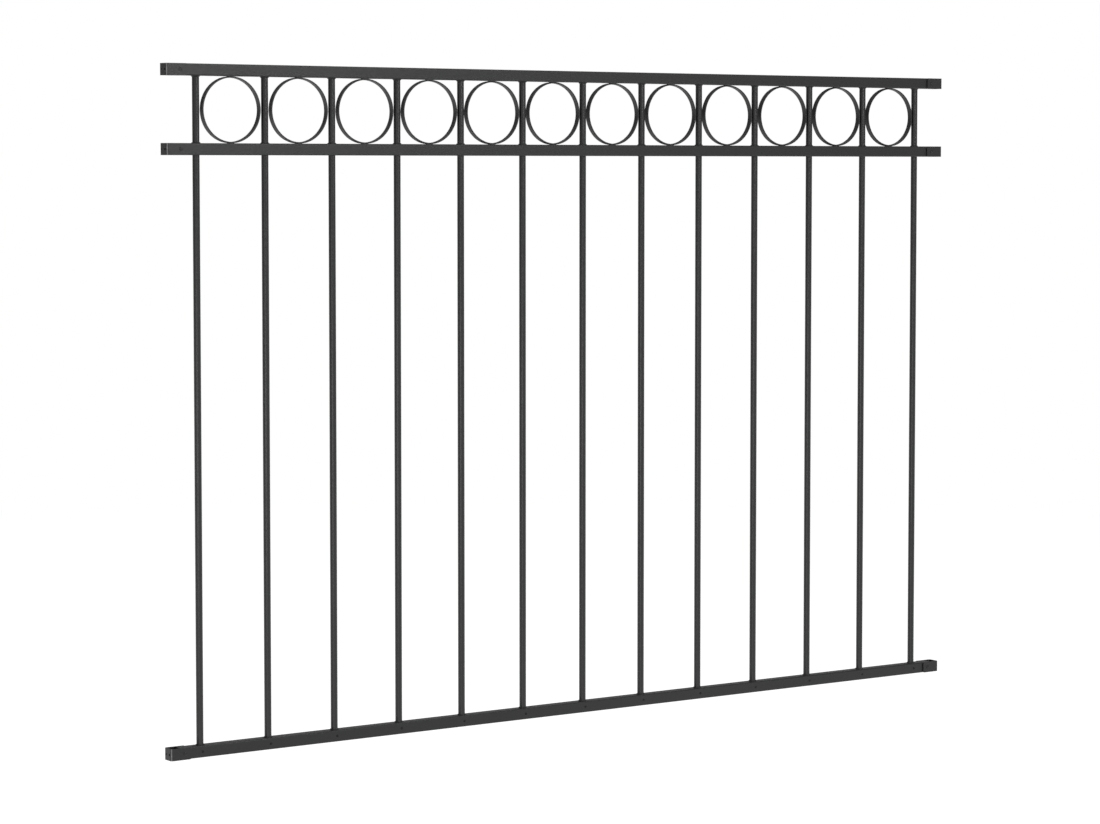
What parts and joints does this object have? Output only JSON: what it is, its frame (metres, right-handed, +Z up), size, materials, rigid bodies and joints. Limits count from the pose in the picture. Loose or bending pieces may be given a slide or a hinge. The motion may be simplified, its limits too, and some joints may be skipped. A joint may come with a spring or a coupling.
{
  "type": "steel fence panel",
  "caption": "Black steel garden fence panel: round pickets pierced through tube rails, a row of rings below the top rail, and strap brackets that fix the rail ends to posts.",
  "frame": {"origin": "centre of the outer face of the bottom left bracket, at mid height of the bottom rail", "axes": "+X along the panel from its left end to its right end, +Y through the panel from front to back, +Z up"},
  "size_m": [1.7, 0.0246, 1.16],
  "materials": {
    "rail_coat": "semi-gloss black powder coat on square tube",
    "picket_coat": "semi-gloss black powder coat on drawn round bar",
    "ring_coat": "semi-gloss black powder coat on rolled flat strip",
    "bracket_coat": "semi-gloss black powder coat on folded strap"
  },
  "bodies": {
    "root": {"bottom_rail": "rail_coat", "bottom_left_bracket": "bracket_coat", "bottom_right_bracket": "bracket_coat", "middle_rail": "rail_coat", "middle_left_bracket": "bracket_coat", "middle_right_bracket": "bracket_coat", "top_rail": "rail_coat", "top_left_bracket": "bracket_coat", "top_right_bracket": "bracket_coat", "picket_01": "picket_coat", "picket_02": "picket_coat", "picket_03": "picket_coat", "picket_04": "picket_coat", "picket_05": "picket_coat", "picket_06": "picket_coat", "picket_07": "picket_coat", "picket_08": "picket_coat", "picket_09": "picket_coat", "picket_10": "picket_coat", "picket_11": "picket_coat", "picket_12": "picket_coat", "picket_13": "picket_coat", "ring_01": "ring_coat", "ring_02": "ring_coat", "ring_03": "ring_coat", "ring_04": "ring_coat", "ring_05": "ring_coat", "ring_06": "ring_coat", "ring_07": "ring_coat", "ring_08": "ring_coat", "ring_09": "ring_coat", "ring_10": "ring_coat", "ring_11": "ring_coat", "ring_12": "ring_coat"}
  },
  "joints": []
}
